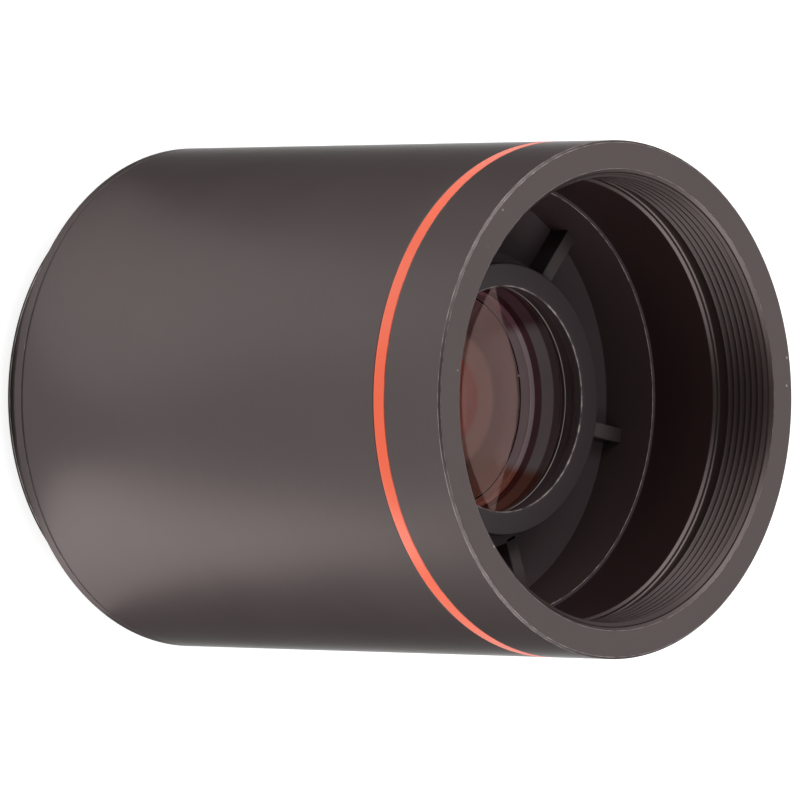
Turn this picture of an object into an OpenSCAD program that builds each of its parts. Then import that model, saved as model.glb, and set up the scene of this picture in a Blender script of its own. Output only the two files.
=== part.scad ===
// Camera teleconverter for screw-mount lenses, standing on its rear end.
// A lens screws into the front collar, a camera adapter screws onto the rear stub,
// and a doubling lens group sits between them in a ribbed carrier.
// The optical axis is +Z, and the origin is the centre of the rear end.

/* [Mount threads] */
// Major diameter of the front and rear mount threads
thread_d = 42; // [38:0.5:60]
// Pitch of the mount threads
thread_pitch = 0.75; // [0.5:0.25:1]
// Turns of the thread inside the front collar
front_turns = 6; // [3:1:6]
// Height of the threaded rear stub below the shoulder
rear_thread_l = 4; // [3:0.1:8]
// How far the front mouth opens outside the thread
mouth_lead = 0.35; // [0.2:0.05:0.8]
// Plain band between the front thread and its relief groove
thread_band = 0.35; // [0.2:0.05:1]
// Width of the relief groove below the front thread
relief_w = 1.25; // [0.6:0.05:1.6]
// Depth of the relief groove outside the thread
relief_depth = 0.15; // [0.1:0.05:0.5]
// Chamfer at the rear end of the stub
stub_chamfer = 0.1; // [0.05:0.05:0.25]
// Length of the full-width lip between the rear end of the stub and its first groove
stub_lip = 0.35; // [0.3:0.05:0.8]
// Wall of the stub inside its thread
mount_wall = 1.6; // [1.2:0.1:3]

/* [Body] */
// Wall of the front collar outside its thread
rim_w = 3; // [2.6:0.1:8]
// Length from the front rim to the rear shoulder
body_l = 56; // [50:1:100]
// Wall of the barrel at its threaded ends
barrel_wall = 2.4; // [1.8:0.1:2.6]
// Width of the two ledges inside the barrel
ledge_w = 1.8; // [0.8:0.1:2.4]
// Chamfer around the front rim
rim_chamfer = 0.2; // [0.1:0.05:0.6]
// Chamfer around the rear shoulder
shoulder_chamfer = 0.15; // [0.1:0.05:0.6]
// Height of the fine line around the barrel above the rear shoulder
line_h = 1.15; // [1:0.05:4]
// Width of that line
line_w = 0.25; // [0.1:0.05:0.4]
// Depth of that line
line_depth = 0.12; // [0.05:0.01:0.3]
// Length of the front collar that shows ahead of the coloured ring
collar_l = 7; // [6:0.1:9]
// Width of the coloured ring
accent_w = 1.4; // [0.8:0.1:2.5]
// Thickness of the coloured ring
accent_t = 1.1; // [0.6:0.1:1.3]
// Depth of the front well from the rim to the lens carrier
well_depth = 14.5; // [13:0.1:24]
// Step from the thread crests in to the smooth wall of the well
well_step = 0.25; // [0.22:0.01:0.5]
// Chamfer where the relief groove runs into the well
well_lead = 0.45; // [0.3:0.05:0.8]
// Length of the rear mount inside the barrel
rear_spigot_l = 5; // [3:0.1:8]

/* [Inner threads] */
// Pitch of the threads that join the barrel, the mounts and the carrier
joint_pitch = 0.75; // [0.5:0.25:1]
// Pitch of the threads of the retaining rings
ring_pitch = 0.5; // [0.35:0.05:0.75]
// Plain length at each end of an inner thread
plain_end = 0.4; // [0.2:0.05:0.5]

/* [Lens carrier] */
// Depth of the recess around the nose
recess_depth = 6; // [3:0.1:9]
// Thickness of the recess floor
floor_t = 2.2; // [1.5:0.1:4]
// Step from the smooth wall of the well in to the carrier
carrier_step = 0.1; // [0.05:0.05:0.4]
// Number of ribs across the recess
rib_count = 6; // [3:1:12]
// Width of a rib
rib_w = 1.4; // [0.8:0.1:3]
// Height of a rib above the recess floor
rib_h = 2.2; // [1:0.1:2.8]
// Angle of the first rib
rib_angle = 20; // [0:1:59]
// Wall of the boss around the nose, at rib height
boss_wall = 1.4; // [0.8:0.1:2.5]
// Wall of the skirt behind the recess floor
skirt_wall = 1.4; // [1:0.1:2]
// Thickness of the focus shim under the carrier
shim_t = 0.3; // [0.1:0.05:1]

/* [Lens tube] */
// How far the nose sits back from the end of the well
nose_setback = 0.1; // [0:0.1:2]
// Thickness of the flange of the nose ring
nose_flange_t = 1; // [0.6:0.1:2]
// Length of the nose ring inside the tube
nose_spigot_l = 1.4; // [1.3:0.1:3]
// How far the lip of the nose ring covers the front glass
nose_overlap = 1; // [0.8:0.05:2]
// Rounding of the inner front edge of the nose ring
nose_round = 0.3; // [0.1:0.05:0.5]
// Thickness of the seat rings against the glass
seat_t = 0.5; // [0.2:0.05:1]
// How far a seat ring covers the glass
seat_overlap = 0.7; // [0.4:0.05:1.5]
// Wall of the lens tube around the glass
tube_wall = 1.2; // [0.9:0.05:2]
// Thickness of the lip between the two lens groups
lip_t = 2; // [1:0.1:4]
// How far the lip reaches in over the front group
lip_overlap = 1.1; // [0.6:0.1:2]
// Width of the flange that seats the tube on the carrier
tube_flange_w = 1.3; // [0.8:0.1:2]
// Thickness of that flange
tube_flange_t = 3; // [1.5:0.1:5]
// Length of the lock ring behind that flange
lock_l = 3; // [2:0.1:5]
// Length of the rear retaining ring
retainer_l = 2.5; // [2:0.1:5]
// How far the rear retaining ring covers the glass
retainer_overlap = 0.9; // [0.6:0.1:2]
// How far the tube runs past the rear retaining ring
tube_tail = 0.5; // [0:0.1:3]
// Width of the spanner slots in the retaining rings
slot_w = 2; // [1:0.1:4]
// Depth of the spanner slots
slot_depth = 0.8; // [0.3:0.1:1.2]

/* [Optics] */
// Radius of the front lens group
front_r = 11.5; // [9:0.1:12.5]
// Radius of the rear lens group
rear_r = 13.4; // [10:0.1:14]
// Hollow front surface of the front glass
front_curve = 30; // [24:0.5:90]
// Bonded surface inside the front group
front_bond_curve = 27.5; // [22:0.5:60]
// Hollow rear surface of the front group
front_back_curve = 60; // [40:1:300]
// Thickness of the front glass on the axis
front_t = 1.8; // [1.2:0.1:4]
// Thickness of the second glass on the axis
second_t = 3.6; // [3.2:0.1:6]
// Thickness of the light stop
stop_t = 0.4; // [0.2:0.1:1]
// How far the light stop reaches in from the edge of the rear group
stop_w = 3.2; // [1:0.1:5]
// Length of the spacer between the light stop and the rear group
spacer_l = 11; // [8:0.1:20]
// Wall of the spacer
spacer_wall = 1; // [0.6:0.1:2]
// Domed front surface of the rear group
crown_curve = 55; // [45:0.5:150]
// Bonded surface inside the rear group
rear_bond_curve = 30; // [27:0.5:80]
// Domed rear surface of the rear group
back_curve = 100; // [60:1:400]
// Thickness of the third glass on the axis
third_t = 6; // [5.4:0.1:9]
// Thickness of the rear glass on the axis
fourth_t = 2; // [1.2:0.1:5]

/* [Rear baffle] */
// Thickness of the lip that holds the baffle at the rear end
baffle_lip_t = 1; // [0.6:0.1:1.5]
// Width of that lip
baffle_lip_w = 1.2; // [0.8:0.1:2]
// Thickness of the baffle
baffle_t = 0.5; // [0.3:0.1:1]
// Radius of the hole in the baffle
baffle_r = 14; // [10:0.5:15]
// Length of the ring that holds the baffle down
baffle_ring_l = 1.8; // [1.6:0.1:3]
// Wall of that ring
baffle_ring_wall = 1.2; // [0.8:0.1:2]

/* [Fits] */
// Radial clearance between pieces that slide or screw together
fit_clearance = 0.05; // [0.02:0.01:0.1]
// Thickness of the cement between bonded glasses
cement_t = 0.02; // [0.01:0.01:0.05]

/* [Hidden] */
$fn = 96;

// Basic metric thread form: depth, crest flat and flank as shares of the pitch
depth_per_pitch = 0.5413;
crest_per_pitch = 1 / 4;
flank_per_pitch = 5 / 16;
// Overlap that fuses a rib into the walls beside it
rib_bite = 0.4;
// Steps in the rounded edge of the nose ring
round_steps = 6;
// Overshoot of a cutting shape past the face that it cuts
cut = 0.1;

// Heights along the axis, from the rear end
shoulder_z = rear_thread_l;
front_z = shoulder_z + body_l;
collar_z = front_z - collar_l;
barrel_front_z = collar_z - accent_w;
well_z = front_z - well_depth;
floor_z = well_z - recess_depth;
carrier_z = floor_z - floor_t;
ledge_z = carrier_z - shim_t;
rear_ledge_z = shoulder_z + rear_spigot_l;
line_z = shoulder_z + line_h;
stub_root_z = stub_lip + flank_per_pitch * thread_pitch;

// Radii of the mount threads and of the body
thread_r = thread_d / 2;
thread_crest_r = thread_r - thread_depth(thread_pitch);
body_r = thread_r + rim_w;
mouth_r = thread_r + mouth_lead;
relief_r = thread_r + relief_depth;
well_r = thread_crest_r - well_step;
neck_r = body_r - accent_t;
joint_r = body_r - barrel_wall;
middle_r = joint_r - ledge_w;
mount_bore_r = thread_crest_r - mount_wall;
baffle_lip_r = mount_bore_r - baffle_lip_w;

// Heights of the front thread
thread_top_z = front_z - (mouth_r - thread_crest_r);
thread_low_z = thread_top_z - front_turns * thread_pitch;
relief_top_z = thread_low_z - thread_band;
relief_low_z = relief_top_z - relief_w;

// Turns of the joints that fit between their plain ends
front_joint_turns = turns_in(barrel_front_z - well_z, joint_pitch);
rear_joint_turns = turns_in(rear_spigot_l, joint_pitch);
stub_turns = floor((rear_thread_l - stub_root_z - plain_end) / thread_pitch);
lock_turns = turns_in(lock_l, joint_pitch);
nose_turns = turns_in(nose_spigot_l, ring_pitch);
retainer_turns = turns_in(retainer_l, ring_pitch);
baffle_turns = turns_in(baffle_ring_l, ring_pitch);

// Lens tube, from the nose to the rear
front_bore_r = front_r + fit_clearance;
tube_front_r = front_bore_r + tube_wall;
rear_bore_r = rear_r + fit_clearance;
tube_r = rear_bore_r + tube_wall;
tube_flange_r = tube_r + tube_flange_w;
nose_z = well_z - nose_setback;
tube_front_z = nose_z - nose_flange_t;
nose_end_z = tube_front_z - nose_spigot_l;
flange_end_z = carrier_z - tube_flange_t;
lock_end_z = flange_end_z - lock_l;

// Front lens group, from its front edge to the lip of the tube
front_edge_z = nose_end_z - seat_t;
front_vertex_z = front_edge_z - sag(front_curve, front_r);
front_bond_z = front_vertex_z - front_t;
front_back_z = front_bond_z - second_t;
lip_front_z = front_back_z - sag(front_back_curve, front_r);
lip_rear_z = lip_front_z - lip_t;

// Rear lens group, from the light stop to the retaining ring
stop_end_z = lip_rear_z - stop_t;
spacer_end_z = stop_end_z - spacer_l;
crown_vertex_z = spacer_end_z + sag(crown_curve, rear_r - spacer_wall);
rear_bond_z = crown_vertex_z - third_t;
back_vertex_z = rear_bond_z - fourth_t;
rear_seat_z = back_vertex_z + sag(back_curve, rear_r - seat_overlap);
rear_seat_end_z = rear_seat_z - seat_t;
retainer_end_z = rear_seat_end_z - retainer_l;
tube_rear_z = retainer_end_z - tube_tail;

// Carrier around the tube
hub_r = tube_front_r + fit_clearance;
boss_r = hub_r + boss_wall;
carrier_rim_r = well_r - carrier_step;
carrier_r = joint_r - fit_clearance;
skirt_bore_r = tube_flange_r + fit_clearance;
skirt_r = skirt_bore_r + thread_depth(joint_pitch) + skirt_wall;

// Baffle in the rear stub
baffle_top_z = baffle_lip_t + baffle_t;
baffle_ring_top_z = baffle_top_z + baffle_ring_l;
baffle_ring_r = mount_bore_r - fit_clearance;

// Depth of a thread
function thread_depth(pitch) = pitch * depth_per_pitch;

// Whole turns that fit in a length between two plain ends
function turns_in(length, pitch) = floor((length - 2 * plain_end) / pitch);

// Depth of a round surface of the given curve at the edge of a glass
function sag(curve, edge_r) = curve - sqrt(curve * curve - edge_r * edge_r);

// Threaded wall upwards from z: for each turn a flat at the small radius, then a groove
function thread_wall(small_r, z, turns, pitch) = [
    for (turn = [0:1:turns - 1])
        let (low = z + turn * pitch, deep_r = small_r + thread_depth(pitch))
        each [
            [small_r, low],
            [small_r, low + crest_per_pitch * pitch],
            [deep_r, low + (crest_per_pitch + flank_per_pitch) * pitch],
            [deep_r, low + (1 - flank_per_pitch) * pitch],
        ],
    [small_r, z + turns * pitch],
];

// The same points in the other order
function reversed(points) = [for (i = [len(points) - 1:-1:0]) points[i]];

// Quarter circle of points from the given start angle
function corner(r, z, radius, start) = [
    for (i = [0:round_steps])
        let (angle = start + 90 * i / round_steps)
        [r + radius * cos(angle), z + radius * sin(angle)]
];

// A turned solid with the given outline of radius and height
module turned(outline) {
    rotate_extrude() polygon(outline);
}

// A plain ring
module ring(inner_r, outer_r, low_z, high_z) {
    turned([[inner_r, low_z], [outer_r, low_z], [outer_r, high_z], [inner_r, high_z]]);
}

// Two slots for a pin spanner across the rear face of a ring
module spanner_slots(outer_r, rear_z) {
    translate([-outer_r - cut, -slot_w / 2, rear_z - cut])
        cube([2 * (outer_r + cut), slot_w, slot_depth + cut]);
}

// Ball whose surface crosses the axis at z: its centre lies above, or below for a negative side
module surface_ball(curve, z, side) {
    translate([0, 0, z + side * curve]) sphere(curve);
}

// Round blank of a glass
module blank(edge_r, low_z, high_z) {
    translate([0, 0, low_z]) cylinder(r = edge_r, h = high_z - low_z);
}

module main_barrel() {
    color("#4a4341")
    turned(concat(
        [[joint_r, shoulder_z]],
        thread_wall(joint_r, shoulder_z + plain_end, rear_joint_turns, joint_pitch),
        [
            [joint_r, rear_ledge_z],
            [middle_r, rear_ledge_z],
            [middle_r, ledge_z],
            [joint_r, ledge_z],
        ],
        thread_wall(joint_r, well_z + plain_end, front_joint_turns, joint_pitch),
        [
            [joint_r, barrel_front_z],
            [body_r, barrel_front_z],
            [body_r, line_z + line_w / 2],
            [body_r - line_depth, line_z],
            [body_r, line_z - line_w / 2],
            [body_r, shoulder_z + shoulder_chamfer],
            [body_r - shoulder_chamfer, shoulder_z],
        ]
    ));
}

module front_collar() {
    spigot_r = joint_r - fit_clearance;
    color("#4a4341")
    turned(concat(
        [
            [well_r, well_z],
            [well_r, relief_low_z - well_lead],
            [well_r + well_lead, relief_low_z],
            [relief_r, relief_low_z],
            [relief_r, relief_top_z],
            [thread_crest_r, relief_top_z],
        ],
        thread_wall(thread_crest_r, thread_low_z, front_turns, thread_pitch),
        [
            [mouth_r, front_z],
            [body_r - rim_chamfer, front_z],
            [body_r, front_z - rim_chamfer],
            [body_r, collar_z],
            [neck_r, collar_z],
            [neck_r, barrel_front_z],
            [spigot_r, barrel_front_z],
        ],
        reversed(thread_wall(spigot_r, well_z + plain_end, front_joint_turns, joint_pitch)),
        [[spigot_r, well_z]]
    ));
}

module accent_ring() {
    color("#e8542c")
    ring(neck_r, body_r, barrel_front_z, collar_z);
}

module rear_mount() {
    spigot_r = joint_r - fit_clearance;
    color("#3b3635")
    turned(concat(
        [
            [baffle_lip_r, 0],
            [thread_r - stub_chamfer, 0],
            [thread_r, stub_chamfer],
            [thread_r, stub_lip],
        ],
        thread_wall(thread_crest_r, stub_root_z, stub_turns, thread_pitch),
        [[thread_crest_r, shoulder_z], [spigot_r, shoulder_z]],
        thread_wall(spigot_r, shoulder_z + plain_end, rear_joint_turns, joint_pitch),
        [[spigot_r, rear_ledge_z], [mount_bore_r, rear_ledge_z]],
        reversed(thread_wall(mount_bore_r, baffle_top_z + plain_end, baffle_turns, ring_pitch)),
        [[mount_bore_r, baffle_lip_t], [baffle_lip_r, baffle_lip_t]]
    ));
}

module lens_carrier() {
    color("#1d1b1b")
    union() {
        turned(concat(
            [
                [carrier_rim_r, well_z],
                [carrier_r, well_z],
                [carrier_r, carrier_z],
                [skirt_r, carrier_z],
                [skirt_r, lock_end_z],
                [skirt_bore_r, lock_end_z],
            ],
            thread_wall(skirt_bore_r, lock_end_z + plain_end, lock_turns, joint_pitch),
            [
                [skirt_bore_r, carrier_z],
                [hub_r, carrier_z],
                [hub_r, floor_z + rib_h],
                [boss_r, floor_z + rib_h],
                [boss_r, floor_z],
                [carrier_rim_r, floor_z],
            ]
        ));
        for (i = [0:rib_count - 1])
            rotate(rib_angle + 360 * i / rib_count)
                translate([boss_r - rib_bite, -rib_w / 2, floor_z - rib_bite])
                    cube([carrier_rim_r - boss_r + 2 * rib_bite, rib_w, rib_h + rib_bite]);
    }
}

module focus_shim() {
    color("#b08d57")
    ring(middle_r, carrier_r, ledge_z, carrier_z);
}

module lens_tube() {
    color("#2b2928")
    turned(concat(
        [
            [tube_front_r, tube_front_z],
            [tube_front_r, carrier_z],
            [tube_flange_r, carrier_z],
            [tube_flange_r, flange_end_z],
            [tube_r, flange_end_z],
            [tube_r, tube_rear_z],
            [rear_bore_r, tube_rear_z],
        ],
        thread_wall(rear_bore_r, retainer_end_z + plain_end, retainer_turns, ring_pitch),
        [
            [rear_bore_r, lip_rear_z],
            [front_r - lip_overlap, lip_rear_z],
            [front_r - lip_overlap, lip_front_z],
            [front_bore_r, lip_front_z],
        ],
        thread_wall(front_bore_r, nose_end_z + plain_end, nose_turns, ring_pitch),
        [[front_bore_r, tube_front_z]]
    ));
}

module tube_lock_ring() {
    lock_r = skirt_bore_r - fit_clearance;
    color("#8f8d8a")
    difference() {
        turned(concat(
            [[tube_r + fit_clearance, lock_end_z], [lock_r, lock_end_z]],
            thread_wall(lock_r, lock_end_z + plain_end, lock_turns, joint_pitch),
            [[lock_r, flange_end_z], [tube_r + fit_clearance, flange_end_z]]
        ));
        spanner_slots(skirt_r, lock_end_z);
    }
}

module nose_ring() {
    spigot_r = front_bore_r - fit_clearance;
    spigot_inner_r = front_r - seat_overlap;
    lip_r = front_r - nose_overlap;
    color("#1a1918")
    turned(concat(
        [[spigot_inner_r, nose_end_z], [spigot_r, nose_end_z]],
        thread_wall(spigot_r, nose_end_z + plain_end, nose_turns, ring_pitch),
        [
            [spigot_r, tube_front_z],
            [tube_front_r, tube_front_z],
            [tube_front_r, nose_z],
        ],
        corner(lip_r + nose_round, nose_z - nose_round, nose_round, 90),
        [[lip_r, tube_front_z], [spigot_inner_r, tube_front_z]]
    ));
}

module front_seat_ring() {
    color("#2a2725")
    ring(front_r - seat_overlap, front_r, front_edge_z, nose_end_z);
}

module front_glass() {
    rear_edge = front_bond_z - sag(front_bond_curve, front_r);
    color("#8c4a40", 0.5)
    difference() {
        blank(front_r, rear_edge, front_edge_z);
        surface_ball(front_curve, front_vertex_z, 1);
        surface_ball(front_bond_curve, front_bond_z, -1);
    }
}

module second_glass() {
    bond_edge = front_bond_z - sag(front_bond_curve, front_r);
    bond_vertex = front_bond_z - cement_t;
    color("#8c5a50", 0.5)
    difference() {
        intersection() {
            blank(front_r, lip_front_z, bond_edge + second_t);
            surface_ball(front_bond_curve, bond_vertex, -1);
        }
        surface_ball(front_back_curve, front_back_z, -1);
    }
}

module light_stop() {
    color("#141313")
    ring(rear_r - stop_w, rear_r, stop_end_z, lip_rear_z);
}

module spacer_ring() {
    color("#242221")
    ring(rear_r - spacer_wall, rear_r, spacer_end_z, stop_end_z);
}

module third_glass() {
    color("#6d5a6a", 0.5)
    intersection() {
        blank(rear_r, rear_bond_z, crown_vertex_z);
        surface_ball(crown_curve, crown_vertex_z, -1);
        surface_ball(rear_bond_curve, rear_bond_z, 1);
    }
}

module rear_glass() {
    color("#6d5a6a", 0.5)
    difference() {
        intersection() {
            blank(rear_r, back_vertex_z, rear_bond_z + sag(rear_bond_curve, rear_r));
            surface_ball(back_curve, back_vertex_z, 1);
        }
        surface_ball(rear_bond_curve, rear_bond_z - cement_t, 1);
    }
}

module rear_seat_ring() {
    color("#2a2725")
    ring(rear_r - seat_overlap, rear_r, rear_seat_end_z, rear_seat_z);
}

module rear_retainer() {
    retainer_r = rear_bore_r - fit_clearance;
    color("#1f1d1d")
    difference() {
        turned(concat(
            [[rear_r - retainer_overlap, retainer_end_z], [retainer_r, retainer_end_z]],
            thread_wall(retainer_r, retainer_end_z + plain_end, retainer_turns, ring_pitch),
            [[retainer_r, rear_seat_end_z], [rear_r - retainer_overlap, rear_seat_end_z]]
        ));
        spanner_slots(tube_r, retainer_end_z);
    }
}

module rear_baffle() {
    color("#161515")
    ring(baffle_r, baffle_ring_r, baffle_lip_t, baffle_top_z);
}

module baffle_ring() {
    inner_r = baffle_ring_r - baffle_ring_wall;
    color("#242221")
    difference() {
        turned(concat(
            [[inner_r, baffle_top_z], [baffle_ring_r, baffle_top_z]],
            thread_wall(baffle_ring_r, baffle_top_z + plain_end, baffle_turns, ring_pitch),
            [[baffle_ring_r, baffle_ring_top_z], [inner_r, baffle_ring_top_z]]
        ));
        translate([0, 0, baffle_top_z + baffle_ring_top_z])
            mirror([0, 0, 1]) spanner_slots(mount_bore_r + thread_depth(ring_pitch), baffle_top_z);
    }
}

main_barrel();
front_collar();
accent_ring();
rear_mount();
lens_carrier();
focus_shim();
lens_tube();
tube_lock_ring();
nose_ring();
front_seat_ring();
front_glass();
second_glass();
light_stop();
spacer_ring();
third_glass();
rear_glass();
rear_seat_ring();
rear_retainer();
rear_baffle();
baffle_ring();
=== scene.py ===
from functools import cache

import bpy
import numpy as np
from mathutils import Matrix, Vector


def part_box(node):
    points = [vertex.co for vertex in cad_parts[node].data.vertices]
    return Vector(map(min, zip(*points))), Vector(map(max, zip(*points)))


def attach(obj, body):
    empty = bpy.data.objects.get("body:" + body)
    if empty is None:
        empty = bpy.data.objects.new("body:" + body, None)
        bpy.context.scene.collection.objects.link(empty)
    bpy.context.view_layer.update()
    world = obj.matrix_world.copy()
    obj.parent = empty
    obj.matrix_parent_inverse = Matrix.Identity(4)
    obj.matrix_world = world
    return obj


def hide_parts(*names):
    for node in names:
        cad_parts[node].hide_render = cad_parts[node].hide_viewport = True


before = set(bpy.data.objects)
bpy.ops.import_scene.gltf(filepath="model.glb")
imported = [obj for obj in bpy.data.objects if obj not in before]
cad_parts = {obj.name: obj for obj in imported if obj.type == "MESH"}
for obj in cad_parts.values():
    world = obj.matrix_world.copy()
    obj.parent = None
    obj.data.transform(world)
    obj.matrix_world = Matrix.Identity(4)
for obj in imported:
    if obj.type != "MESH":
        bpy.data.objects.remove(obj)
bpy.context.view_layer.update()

bl_info = {
    "name": "Camera teleconverter",
    "version": (1, 0, 0),
    "blender": (4, 5, 0),
    "location": "3D View > Sidebar > Teleconverter",
    "description": "Turned surfaces, finishes and a plain stage for the packed teleconverter",
    "category": "Object",
}

MM = 0.001
NEAR = 0.02 * MM  # how close counts as on a surface
BODY = "root"


def low_z(node):
    """Height of the rear side of a CAD node."""
    return float(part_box(node)[0].z)


def high_z(node):
    """Height of the front side of a CAD node."""
    return float(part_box(node)[1].z)


def outer_r(node):
    """Largest radius of a turned CAD node."""
    return float(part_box(node)[1].x)


def extent(node):
    """Rear height, front height and largest radius of a turned CAD node."""
    return low_z(node), high_z(node), outer_r(node)


# Sizes and colours that a user would change

def length(name, description, default):
    """A size, with its default in millimetres."""
    return bpy.props.FloatProperty(
        name=name, description=description, default=default * MM, min=0.0, precision=5,
        unit="LENGTH",
    )


def colour(name, description, default):
    """A linear colour."""
    return bpy.props.FloatVectorProperty(
        name=name, description=description, default=default, size=3, min=0.0, max=1.0,
        subtype="COLOR",
    )


def share(name, description, default):
    """A number from 0 to 1."""
    return bpy.props.FloatProperty(
        name=name, description=description, default=default, min=0.0, max=1.0, subtype="FACTOR"
    )


def amount(name, description, default):
    """A plain positive number."""
    return bpy.props.FloatProperty(name=name, description=description, default=default, min=0.0)


class TurningSizes(bpy.types.PropertyGroup):
    """How finely the turned pieces are drawn."""

    columns: bpy.props.IntProperty(
        name="Columns", description="Facets around the axis", default=384, min=64
    )
    edge: length("Edge", "Rounding of a turned edge", 0.08)
    pitch: length("Pitch", "Pitch of the mount threads", 0.75)
    depth: length("Thread depth", "Depth of the mount threads", 0.406)
    turn_rows: bpy.props.IntProperty(
        name="Rows per turn", description="Rows along one pitch of a mount thread",
        default=16, min=8,
    )


class BodySizes(bpy.types.PropertyGroup):
    """The outer body: barrel, coloured ring, collar and rear mount."""

    joint_bore: length("Joint bore", "Radius of the barrel's ends inside", 21.6)
    middle_bore: length("Middle bore", "Radius of the barrel between its ledges", 19.8)
    spigot: length("Spigot", "Radius of the ends that go into the barrel", 21.55)
    shoulder_chamfer: length("Shoulder chamfer", "Chamfer around the rear shoulder", 0.15)
    line_h: length("Line height", "Height of the fine line above the rear shoulder", 1.15)
    line_w: length("Line width", "Width of the fine line around the barrel", 0.25)
    line_depth: length("Line depth", "Depth of the fine line around the barrel", 0.12)
    rim_chamfer: length("Rim chamfer", "Chamfer around the front rim", 0.2)
    neck: length("Neck", "Radius under the coloured ring", 22.9)
    mouth: length("Mouth", "Radius of the front mouth", 21.35)
    crest: length("Crest", "Radius of the front thread's crests", 20.594)
    mouth_lead: length("Mouth lead", "Height of the cone inside the front mouth", 0.375)
    lead_gap: length("Lead gap", "Height of the undercut below that cone", 0.075)
    lead_cut: length("Lead cut", "Depth of the undercut below that cone", 0.46)
    lead_h: length("Lead run", "Height over which the thread runs out into the undercut", 0.38)
    thread_h: length("Thread height", "Height of the front thread below the undercut", 4.86)
    relief: length("Relief", "Radius of the relief groove", 21.14)
    relief_w: length("Relief width", "Width of the relief groove", 1.49)
    relief_foot: length("Relief foot", "Cone at the bottom of the relief groove", 0.15)
    well: length("Well", "Radius of the smooth well", 20.54)
    well_lead: length("Well chamfer", "Chamfer where the groove runs into the well", 0.26)
    thread_start: bpy.props.FloatProperty(
        name="Thread start", description="Angle at which the front thread starts",
        default=np.radians(-48.0), subtype="ANGLE",
    )
    stub: length("Stub", "Radius of the rear stub under its thread", 20.594)
    stub_chamfer: length("Stub chamfer", "Chamfer at the end of the stub", 0.1)
    stub_lip: length("Stub lip", "Length of the full-width lip at the end of the stub", 0.35)
    stub_bore: length("Stub bore", "Radius inside the rear mount", 18.994)
    lip: length("Lip", "Radius of the lip at the rear end", 17.794)
    lip_t: length("Lip thickness", "Thickness of the lip at the rear end", 1.0)
    baffle_hole: length("Baffle hole", "Radius of the hole in the rear baffle", 14.0)


class CarrierSizes(bpy.types.PropertyGroup):
    """The ribbed carrier at the bottom of the well."""

    rim: length("Rim", "Radius of the recess", 20.244)
    floor_t: length("Floor", "Thickness of the recess floor", 2.2)
    depth: length("Recess depth", "Depth of the recess below its rim", 6.0)
    rib_h: length("Rib height", "Height of the ribs and of the boss", 2.2)
    rib_w: length("Rib width", "Width of a rib", 1.4)
    rib_angle: bpy.props.FloatProperty(
        name="Rib angle", description="Angle of the first rib",
        default=np.radians(20.0), subtype="ANGLE",
    )
    ribs: bpy.props.IntProperty(name="Ribs", description="Number of ribs", default=6, min=1)
    hub: length("Hub", "Radius of the hole for the lens tube", 12.8)
    boss: length("Boss", "Radius of the boss around the nose", 14.2)
    skirt_bore: length("Skirt bore", "Radius inside the rear skirt", 16.0)
    skirt: length("Skirt", "Radius of the rear skirt", 17.8)


class CellSizes(bpy.types.PropertyGroup):
    """The lens tube and the rings in it."""

    tube_front: length("Tube front", "Radius of the tube around the front group", 12.75)
    tube_rear: length("Tube rear", "Radius of the tube around the rear group", 14.65)
    front_bore: length("Front bore", "Radius inside the front of the tube", 11.55)
    rear_bore: length("Rear bore", "Radius inside the rear of the tube", 13.45)
    flange_t: length("Flange", "Thickness of the tube's flange", 3.0)
    lip: length("Tube lip", "Radius of the lip between the groups", 10.4)
    lip_t: length("Tube lip thickness", "Thickness of that lip", 2.0)
    nose: length("Nose", "Radius of the mouth of the nose ring", 10.5)
    nose_round: length("Nose rounding", "Rounding of the nose's inner edge", 0.3)
    nose_flange_t: length("Nose flange", "Thickness of the flange of the nose ring", 1.0)
    seat: length("Seat", "Radius inside the front seat ring", 10.8)
    stop: length("Stop", "Radius of the hole in the light stop", 10.2)
    spacer: length("Spacer", "Radius inside the spacer", 12.4)
    rear_seat: length("Rear seat", "Radius inside the rear seat ring", 12.7)


class GlassSizes(bpy.types.PropertyGroup):
    """The curves of the four glasses."""

    front: length("Front", "Hollow front surface of the front glass", 30.0)
    front_bond: length("Front bond", "Bonded surface of the front group", 27.5)
    front_back: length("Front back", "Hollow rear surface of the front group", 60.0)
    crown: length("Crown", "Domed front surface of the rear group", 55.0)
    rear_bond: length("Rear bond", "Bonded surface of the rear group", 30.0)
    back: length("Back", "Domed rear surface of the rear group", 100.0)
    bevel: length("Bevel", "Bevel at the edge of a glass", 0.12)
    # Radii of the rings of painted reflection on the coating behind the front group
    painted_red_r: length("Red middle", "Radius of the red middle of the warm coating", 4.7)
    painted_pink_r: length("Pink ring", "Radius of the pink ring around it", 7.1)
    brown_w: length("Brown band", "Width of the brown band behind the front edge", 2.2)
    grey_w: length("Grey band", "Width of the grey band behind the brown one", 2.2)
    plum_w: length("Plum band", "Width of the plum band behind the grey one", 1.37)
    pale_w: length("Pale band", "Width of the pale band behind the plum one", 2.85)


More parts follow.
